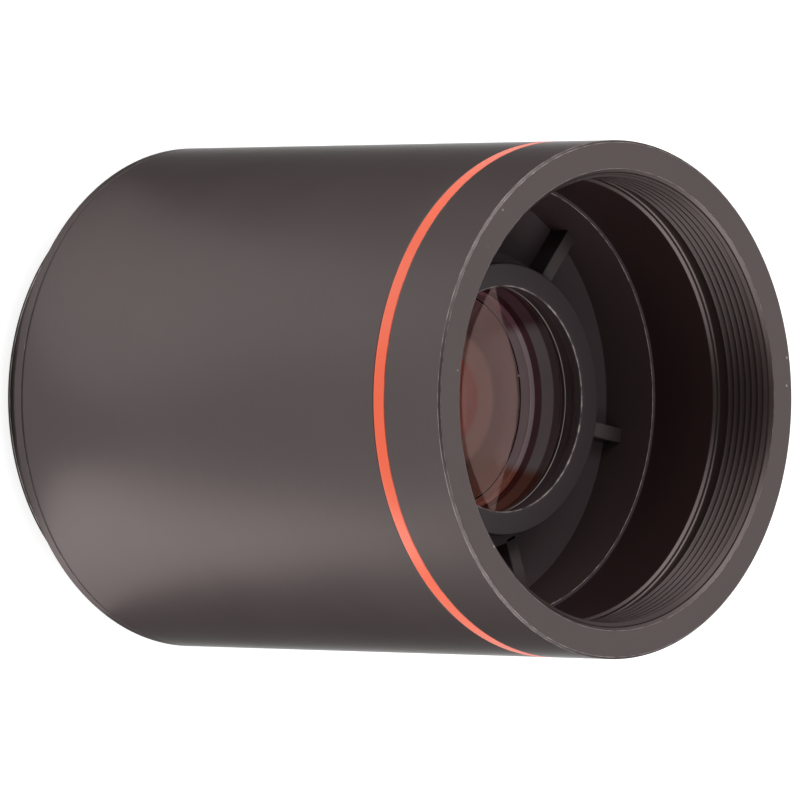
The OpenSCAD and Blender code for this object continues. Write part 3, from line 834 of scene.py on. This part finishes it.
class TELECONVERTER_OT_collar(bpy.types.Operator):
    """Turn the front collar with its mount thread, relief groove and well"""

    bl_idname = "teleconverter.collar"
    bl_label = "Front collar"

    def execute(self, context):
        t, s = context.scene.tc_turning, context.scene.tc_body
        rear, front, r = extent("front_collar")
        ring_low, ring_high = low_z("accent_ring"), high_z("accent_ring")
        thread_top = front - s.mouth_lead - s.lead_gap
        relief_top = thread_top - s.thread_h
        relief_low = relief_top - s.relief_w
        count = int(s.thread_h / t.pitch * t.turn_rows) + 1
        thread = [(s.crest, z, 0.0) for z in np.linspace(relief_top, thread_top, count)]
        steps = np.linspace(s.mouth_lead, 0.0, 4)[:-1]
        cone = [(s.mouth - down, front - down, 0.0) for down in steps]
        rows, edge = rounded_rows([
            (s.well, rear), (s.well, relief_low - s.well_lead, t.edge, 0.6),
            (s.well + s.well_lead, relief_low, t.edge, 0.4), (s.relief - s.relief_foot, relief_low),
            (s.relief, relief_low + s.relief_foot), (s.relief, relief_top),
            # The mouth edge's full wear is real chips; the rim chamfer's full wear also paints a
            # bright highlight line along it
            *thread, *cone, (s.mouth, front, t.edge, 1.0),
            (r - s.rim_chamfer, front, t.edge, 1.0), (r, front - s.rim_chamfer, t.edge, 1.0),
            (r, ring_high, t.edge, 0.6), (s.neck, ring_high), (s.neck, ring_low),
            (s.spigot, ring_low), (s.spigot, rear),
        ], t.edge)

        def cut_thread(r, z, turn):
            """Right-hand groove: its phase is height over pitch less the turn.

            It runs out into the undercut.
            """
            phase = (z - relief_top) / t.pitch - (turn + s.thread_start) / (2 * np.pi)
            groove = t.depth * thread_form(phase, LIT_FORM)
            run_out = s.lead_cut * np.clip(1.0 + (z - thread_top) / s.lead_h, 0.0, 1.0)
            hair = 1e-9
            inside = (z > relief_top - hair) & (z < thread_top + hair) & (r < s.mouth)
            return np.where(inside, np.maximum(r, s.crest + np.maximum(groove, run_out)), r)

        def zone(r, z):
            """The well is flat black, darker than the body as painted shade; the thread is dark,
            and its groove and lead shine more.
            """
            inside = r < s.mouth - NEAR
            deep = (r < s.well + 5 * NEAR) & (z < relief_low - 0.9 * s.well_lead)
            cut = inside & (z > relief_top) & (z < thread_top)
            groove = inside & (z > relief_low - s.well_lead)
            # The rim face takes a lighter copy of the anodise: painted light, with dust specks
            face = (z > front - NEAR) & (r > s.mouth)
            return np.select([deep, cut, groove, face], [1, 2, 3, 4], 0)

        finishes = [solid_finish(name) for name in (
            "satin_black_anodised", "flat_black_well", "dark_thread_metal", "dark_groove_metal",
            "dusty_rim_metal",
        )]
        make_piece("front_collar_ring", [turned(rows, edge, t.columns, cut_thread, zone)],
                   finishes, "black_anodised", "front_collar")
        return {"FINISHED"}


class TELECONVERTER_OT_rear_mount(bpy.types.Operator):
    """Turn the rear mount with its threaded stub, and the baffle in it"""

    bl_idname = "teleconverter.rear_mount"
    bl_label = "Rear mount and baffle"

    def execute(self, context):
        t, s = context.scene.tc_turning, context.scene.tc_body
        rear, front, shoulder = low_z("rear_mount"), high_z("rear_mount"), low_z("main_barrel")
        full, flank = s.stub + t.depth, (STANDARD_FORM[1] - STANDARD_FORM[0]) * t.pitch
        thread_low, thread_top = rear + s.stub_lip + flank, shoulder - STUB_RELIEF
        count = int((thread_top - thread_low) / t.pitch * t.turn_rows) + 1
        thread = [(s.stub, z, 0.0) for z in np.linspace(thread_low, thread_top, count)]
        rows, edge = rounded_rows([
            (s.lip, rear), (full - s.stub_chamfer, rear, t.edge, 0.5),
            (full, rear + s.stub_chamfer, t.edge, 0.5), (full, rear + s.stub_lip, t.edge, 1.0),
            *thread, (s.stub, shoulder), (s.spigot, shoulder), (s.spigot, front),
            (s.stub_bore, front), (s.stub_bore, rear + s.lip_t), (s.lip, rear + s.lip_t),
        ], t.edge)
        start, fade_in, fade_out = 0.6, 0.5 * t.pitch, 0.4 * t.pitch

        def raise_thread(r, z, turn):
            """Right-hand ridge that starts behind the end lip and runs out before the shoulder."""
            phase = (z - thread_low) / t.pitch - turn / (2 * np.pi) + start
            ridge = t.depth * (1.0 - thread_form(phase, STANDARD_FORM))
            fade = smooth_step(thread_low, thread_low + fade_in, z)
            fade *= 1.0 - smooth_step(thread_top - fade_out, thread_top, z)
            inside = (z > thread_low) & (z < thread_top) & (np.abs(r - s.stub) < NEAR)
            return np.where(inside, s.stub + ridge * fade, r)

        make_piece("rear_mount_ring", [turned(rows, edge, t.columns, raise_thread)],
                   [solid_finish("satin_black_anodised")], "black_anodised", "rear_mount")
        plain_ring("baffle_plate", "rear_baffle", s.baffle_hole, "blackened_metal",
                   "matte_black_metal")
        return {"FINISHED"}


class TELECONVERTER_OT_carrier(bpy.types.Operator):
    """Turn the lens carrier and lay its ribs across the recess"""

    bl_idname = "teleconverter.carrier"
    bl_label = "Ribbed carrier"

    def execute(self, context):
        t, s = context.scene.tc_turning, context.scene.tc_carrier
        rear, front, r = extent("lens_carrier")
        floor = front - s.depth
        under, top = floor - s.floor_t, floor + s.rib_h
        rows, edge = rounded_rows([
            (s.rim, front, t.edge, 1.0), (r, front), (r, under), (s.skirt, under), (s.skirt, rear),
            (s.skirt_bore, rear), (s.skirt_bore, under), (s.hub, under), (s.hub, top),
            (s.boss, top, t.edge, 0.7), (s.boss, floor, 0.3 * t.edge), (s.rim, floor, 0.3 * t.edge),
        ], t.edge)
        half, sunk, soft = s.rib_w / 2, 0.3 * MM, 1.5 * t.edge
        rib, rib_edge = rounded_rows([
            (-half, floor - sunk), (half, floor - sunk), (half, top, soft, 0.7),
            (-half, top, soft, 0.7),
        ], t.edge)
        angles = s.rib_angle + 2 * np.pi * np.arange(s.ribs) / s.ribs
        # The rib tops take finish 2, a lighter tone that paints light on them
        bars = spokes(rib, rib_edge, s.boss - sunk, s.rim + sunk, angles, 2)

        def zone(p, z):
            """The wall of the recess is darker than its floor: painted shade on one moulding."""
            return ((np.abs(p - s.rim) < NEAR) & (z > floor)).astype(int)

        finishes = [solid_finish(name) for name in (
            "moulded_black_plastic", "moulded_recess_wall", "moulded_rib_top",
        )]
        make_piece("ribbed_carrier", [turned(rows, edge, t.columns, None, zone), bars], finishes,
                   "black_moulding", "lens_carrier")
        return {"FINISHED"}


class TELECONVERTER_OT_cell(bpy.types.Operator):
    """Turn the lens tube, the nose ring and the rings between the glasses"""

    bl_idname = "teleconverter.cell"
    bl_label = "Lens tube and rings"

    def execute(self, context):
        t, s = context.scene.tc_turning, context.scene.tc_cell
        rear, front, flange_r = extent("lens_tube")
        flange = high_z("focus_shim")
        flange_low = flange - s.flange_t
        lip_low = high_z("light_stop")
        lip_top = lip_low + s.lip_t
        rows, edge = rounded_rows([
            (s.tube_front, front), (s.tube_front, flange), (flange_r, flange),
            (flange_r, flange_low), (s.tube_rear, flange_low), (s.tube_rear, rear),
            (s.rear_bore, rear), (s.rear_bore, lip_low), (s.lip, lip_low), (s.lip, lip_top),
            (s.front_bore, lip_top), (s.front_bore, front),
        ], t.edge)
        make_piece("lens_tube_body", [turned(rows, edge, t.columns)],
                   [solid_finish("flat_black_inside")], "matte_black_metal", "lens_tube")
        low, high, r = extent("nose_ring")
        spigot = outer_r("front_seat_ring")
        step = high - s.nose_flange_t
        rows, edge = rounded_rows([
            (s.seat, low), (spigot, low), (spigot, step), (r, step, t.edge, 0.0),
            # The nose's inner rounding takes edge wear 0.8: real wear, and also a painted highlight
            # line
            (r, high, 2 * t.edge, 0.5), (s.nose, high, s.nose_round, 0.8), (s.nose, step),
            (s.seat, step),
        ], t.edge)
        make_piece("nose_ring_lip", [turned(rows, edge, t.columns)],
                   [solid_finish("blackened_nose_metal")], "matte_black_metal", "nose_ring")
        black, metal = "black_moulding", "matte_black_metal"
        # The seat ring's edges wear with a high cover, which paints bright highlight lines on them
        # over real wear
        plain_ring("seat_line", "front_seat_ring", s.seat, "black_seat_ring", black)
        plain_ring("stop_plate", "light_stop", s.stop, "flat_black_inside", metal)
        plain_ring("spacer_tube", "spacer_ring", s.spacer, "flat_black_inside", metal)
        plain_ring("rear_seat_line", "rear_seat_ring", s.rear_seat, "moulded_black_plastic", black)
        return {"FINISHED"}


LENS_ROWS, SIDE_ROWS = 40, 6


def lens_rows(r, bevel, rear, front):
    """Rows of a glass from its rear vertex to its front vertex.

    rear(p) and front(p) give the height of each surface at radius p, and a narrow bevel
    lies between each surface and the ground edge.
    """
    p = np.concatenate([np.linspace(0.0, r - 2 * bevel, LENS_ROWS), [r - bevel]])
    lower = np.stack([p, rear(p)], -1)
    upper = np.stack([p, front(p)], -1)
    edge_low, edge_high = rear(r) + bevel, front(r) - bevel
    height = np.linspace(edge_low, edge_high, SIDE_ROWS)
    side = np.stack([np.full(SIDE_ROWS, r), height], -1)
    return np.concatenate([lower, side, upper[::-1]])


class TELECONVERTER_OT_glass(bpy.types.Operator):
    """Grind the four glasses with their curves, bevels and ground edges"""

    bl_idname = "teleconverter.glass"
    bl_label = "Glasses"

    def execute(self, context):
        t, s = context.scene.tc_turning, context.scene.tc_glass
        coated = polished_finish()
        front_r, rear_r = outer_r("front_glass"), outer_r("third_glass")
        front_vertex = high_z("front_glass") - sag(s.front, front_r)
        front_bond = low_z("front_glass") + sag(s.front_bond, front_r)
        second_front = high_z("second_glass")
        second_back = low_z("second_glass") + sag(s.front_back, front_r)
        crown = high_z("third_glass")
        third_back = low_z("third_glass")
        fourth_front = high_z("rear_glass") - sag(s.rear_bond, rear_r)
        fourth_back = low_z("rear_glass")
        glasses = (
            ("front_lens", "front_glass", front_r, "rear", coated,
             lambda p: front_bond - sag(s.front_bond, p),
             lambda p: front_vertex + sag(s.front, p)),
            ("second_lens", "second_glass", front_r, "front", warm_painted_reflection(),
             lambda p: second_back - sag(s.front_back, p),
             lambda p: second_front - sag(s.front_bond, p)),
            ("third_lens", "third_glass", rear_r, "rear", coated,
             lambda p: third_back + sag(s.rear_bond, p),
             lambda p: crown - sag(s.crown, p)),
            ("rear_lens", "rear_glass", rear_r, "front", coated,
             lambda p: fourth_back + sag(s.back, p),
             lambda p: fourth_front + sag(s.rear_bond, p)),
        )
        for name, cad, r, bonded, face, rear, front in glasses:
            rows = lens_rows(r, s.bevel, rear, front)
            bond = rear if bonded == "rear" else front

            def zone(p, z):
                """Ground at the edge, cemented at the bond, polished elsewhere."""
                at_bond = np.abs(z - bond(np.minimum(p, r))) < NEAR
                return np.where(p > r - 1.5 * s.bevel, 1, np.where(at_bond, 2, 0))

            surface = turned(rows, np.zeros(len(rows)), t.columns // 2, None, zone)
            make_piece(name, [surface], [face, ground_edge_painted_light(), cement_finish()],
                       "coated_glass", cad)
        return {"FINISHED"}


class TELECONVERTER_OT_kept(bpy.types.Operator):
    """Give the inner rings that stay as they are their finishes"""

    bl_idname = "teleconverter.kept"
    bl_label = "Inner rings"

    def execute(self, context):
        kept = {
            "focus_shim": "rolled_brass",
            "tube_lock_ring": "blackened_metal",
            "rear_retainer": "blackened_metal",
            "baffle_ring": "blackened_metal",
        }
        for cad, finish in kept.items():
            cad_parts[cad].data.materials.clear()
            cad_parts[cad].data.materials.append(solid_finish(finish))
        return {"FINISHED"}


# Stage

CAMERA_PLACE = (-0.0026, -0.6567, 0.6701)
CAMERA_RIGHT = (-0.003, 0.697, 0.717)
CAMERA_AHEAD = (0.003, 0.717, -0.697)
SENSOR_MM, CLIP_START = 36.0, 0.01
FLOOR_T, FLOOR_FACETS = 0.002, 96
# Dark card, in degrees: lower edge, upper edge in the middle, its rise at the sides, its limit
CARD_LOW, CARD_TOP, CARD_RISE, CARD_END = 12.0, 111.0, 72.0, 165.0
CARD_COLUMNS, CARD_ROWS = 13, 24
# Strips: name, bearing in degrees, width in metres, share of the brightness
STRIPS = (("right_strip", 33.0, 0.026, 1.0), ("left_strip", -23.0, 0.045, 0.3))
STRIP_OUT, STRIP_H = 0.55, 0.001  # distance from the barrel in lengths, height in metres
# Lamps: name, place, setting that holds the power
LAMPS = (("key_light", (0.46, -0.14, 0.42), "key"), ("side_light", (-0.46, -0.14, 0.42), "side"))
LAMP_SIZE, LAMP_AIM = (0.7, 0.45), (0.0, 0.0, 0.03)


def stage_object(name, points, faces, material):
    """A mesh of the stage, from its points and faces."""
    mesh = bpy.data.meshes.new(name)
    mesh.from_pydata(points.tolist(), [], faces)
    mesh.materials.append(material)
    made = bpy.data.objects.new(name, mesh)
    bpy.context.scene.collection.objects.link(made)
    return made


def lay_floor(s):
    """A flat pale disc, white to the camera and paler for glossy and transmitted rays."""
    material, tree = new_material("pale_floor")
    cloud = group_value(tree, mottle(), Scale=3.0, Contrast=0.05)
    tone = np.full(3, s.floor_tone)
    base = blend(tree, cloud, rgba(tone * 0.98), rgba(tone))
    matt = node(tree, "ShaderNodeBsdfDiffuse", {0: base})
    path = node(tree, "ShaderNodeLightPath").outputs
    bounced = maths(tree, "ADD", path["Is Glossy Ray"], path["Is Transmission Ray"])
    direct = maths(tree, "MULTIPLY", path["Is Camera Ray"], s.floor_white)
    white = maths(tree, "MULTIPLY_ADD", bounced, s.floor_glow, direct)
    glow = node(tree, "ShaderNodeEmission", {1: white})
    end_in(tree, node(tree, "ShaderNodeAddShader", {0: matt.outputs[0], 1: glow.outputs[0]}))
    rows = np.array([[0.0, -FLOOR_T], [s.floor_r, -FLOOR_T], [s.floor_r, 0.0], [0.0, 0.0]])
    disc = turned(rows, np.zeros(len(rows)), FLOOR_FACETS)
    faces = np.split(disc["corners"], np.cumsum(disc["sizes"])[:-1])
    floor = stage_object("floor", disc["points"], [f.tolist() for f in faces], material)


def hang_card(s):
    """A dark card that only reflections see: x = w u, y = -d cos a, z = d sin a.

    u runs from -1 to 1 across its half width w, and the angle a, at the distance d, from
    CARD_LOW up to CARD_TOP + CARD_RISE u^2, or to CARD_END where that is less.
    """
    material, tree = new_material("black_cloth")
    weave = group_value(tree, mottle(), Scale=40.0, Contrast=0.6)
    tone = blend(tree, weave, (0.01, 0.01, 0.01, 1.0), (0.02, 0.02, 0.02, 1.0))
    end_in(tree, node(tree, "ShaderNodeBsdfDiffuse", {0: tone}))
    u = np.linspace(-1.0, 1.0, CARD_COLUMNS)
    end = np.minimum(CARD_TOP + CARD_RISE * u ** 2, CARD_END)
    share_up = np.linspace(0.0, 1.0, CARD_ROWS)[:, None]
    a = np.radians(CARD_LOW + share_up * (end - CARD_LOW)[None, :])
    arc = np.broadcast_arrays(s.card_w * u, -s.card_r * np.cos(a), s.card_r * np.sin(a))
    first = CARD_COLUMNS * np.arange(CARD_ROWS - 1)[:, None] + np.arange(CARD_COLUMNS - 1)
    quads = first.reshape(-1, 1) + np.array([0, 1, CARD_COLUMNS + 1, CARD_COLUMNS])
    points = np.stack(arc, -1).reshape(-1, 3)
    card = stage_object("dark_card", points, quads.tolist(), material)
    card.visible_camera = card.visible_diffuse = False
    card.visible_shadow = card.visible_transmission = False


def white_rays(tree):
    """1 for camera, glossy and transmitted rays, which see the plain white surroundings."""
    path = node(tree, "ShaderNodeLightPath").outputs
    seen = maths(tree, "ADD", path["Is Camera Ray"], path["Is Glossy Ray"])
    return node(tree, "ShaderNodeMath", {
        0: seen, 1: path["Is Transmission Ray"],
    }, operation="ADD", use_clamp=True).outputs[0]


def area_lamp(name, size, power, place, turn):
    """A rectangular lamp that the camera doesn't see."""
    lamp = bpy.data.lights.new(name, "AREA")
    lamp.shape, lamp.energy = "RECTANGLE", power
    lamp.size, lamp.size_y = size
    holder = bpy.data.objects.new(name, lamp)
    holder.location, holder.rotation_euler = place, turn
    holder.visible_camera = False
    bpy.context.scene.collection.objects.link(holder)


def set_light(scene, s):
    """White air, two strips on the floor beside the barrel and two soft lamps."""
    scene.world = bpy.data.worlds.new("soft_white")
    tree = bare_tree(scene.world)
    strength = maths(tree, "MULTIPLY_ADD", white_rays(tree), 1.0 - s.fill, s.fill)
    air = node(tree, "ShaderNodeBackground", {0: (1.0, 1.0, 1.0, 1.0), 1: strength})
    end_in(tree, air, "ShaderNodeOutputWorld")
    r, out = outer_r("main_barrel"), STRIP_OUT * s.strip_l
    for name, bearing, width, part in STRIPS:
        foot, way = np.radians(bearing - 90.0), np.radians(2 * bearing - 90.0)
        x, y = r * np.cos(foot) + out * np.cos(way), r * np.sin(foot) + out * np.sin(way)
        power = part * s.strip * np.pi * s.strip_l * width
        area_lamp(name, (s.strip_l, width), power, (x, y, STRIP_H), (np.pi, 0.0, way))
    for name, place, power in LAMPS:
        turn = (Vector(place) - Vector(LAMP_AIM)).to_track_quat("Z", "Y").to_euler()
        area_lamp(name, LAMP_SIZE, getattr(s, power), place, turn)


def set_camera(scene, s):
    """The photograph's view, along CAMERA_AHEAD with CAMERA_RIGHT at the right of the picture."""
    camera = bpy.data.cameras.new("camera")
    camera.lens, camera.sensor_width, camera.clip_start = s.lens, SENSOR_MM, CLIP_START
    holder = bpy.data.objects.new("camera", camera)
    ahead, right = Vector(CAMERA_AHEAD).normalized(), Vector(CAMERA_RIGHT)
    right = (right - right.dot(ahead) * ahead).normalized()
    turn = Matrix((right, right.cross(ahead), -ahead)).transposed()
    holder.matrix_world = Matrix.Translation(CAMERA_PLACE) @ turn.to_4x4()
    scene.collection.objects.link(holder)
    scene.camera = holder


class TELECONVERTER_OT_stage(bpy.types.Operator):
    """Lay the floor and set the light and the camera"""

    bl_idname = "teleconverter.stage"
    bl_label = "Stage"

    def execute(self, context):
        scene, s = context.scene, context.scene.tc_stage
        lay_floor(s)
        hang_card(s)
        set_light(scene, s)
        set_camera(scene, s)
        scene.view_settings.view_transform = "Standard"
        return {"FINISHED"}


class TELECONVERTER_PT_panel(bpy.types.Panel):
    """Lists the pieces and the stage"""

    bl_idname = "TELECONVERTER_PT_panel"
    bl_label = "Teleconverter"
    bl_space_type = "VIEW_3D"
    bl_region_type = "UI"
    bl_category = "Teleconverter"

    def draw(self, context):
        for operator in OPERATORS:
            self.layout.operator(operator.bl_idname)
        for name in SETTINGS:
            group = getattr(context.scene, name)
            box = self.layout.box()
            for field in group.__annotations__:
                box.prop(group, field)


SETTINGS = {
    "tc_turning": TurningSizes,
    "tc_body": BodySizes,
    "tc_carrier": CarrierSizes,
    "tc_cell": CellSizes,
    "tc_glass": GlassSizes,
    "tc_colours": FinishColours,
    "tc_stage": StageSettings,
}
OPERATORS = (
    TELECONVERTER_OT_barrel,
    TELECONVERTER_OT_collar,
    TELECONVERTER_OT_rear_mount,
    TELECONVERTER_OT_carrier,
    TELECONVERTER_OT_cell,
    TELECONVERTER_OT_glass,
    TELECONVERTER_OT_kept,
    TELECONVERTER_OT_stage,
)


def register():
    for name, group in SETTINGS.items():
        bpy.utils.register_class(group)
        setattr(bpy.types.Scene, name, bpy.props.PointerProperty(type=group))
    for operator in OPERATORS:
        bpy.utils.register_class(operator)
    bpy.utils.register_class(TELECONVERTER_PT_panel)


def unregister():
    bpy.utils.unregister_class(TELECONVERTER_PT_panel)
    for operator in reversed(OPERATORS):
        bpy.utils.unregister_class(operator)
    for name, group in reversed(SETTINGS.items()):
        delattr(bpy.types.Scene, name)
        bpy.utils.unregister_class(group)


def main():
    """Makes every piece and the stage."""
    register()
    for operator in OPERATORS:
        family, name = operator.bl_idname.split(".")
        getattr(getattr(bpy.ops, family), name)()


if __name__ == "__main__":
    main()
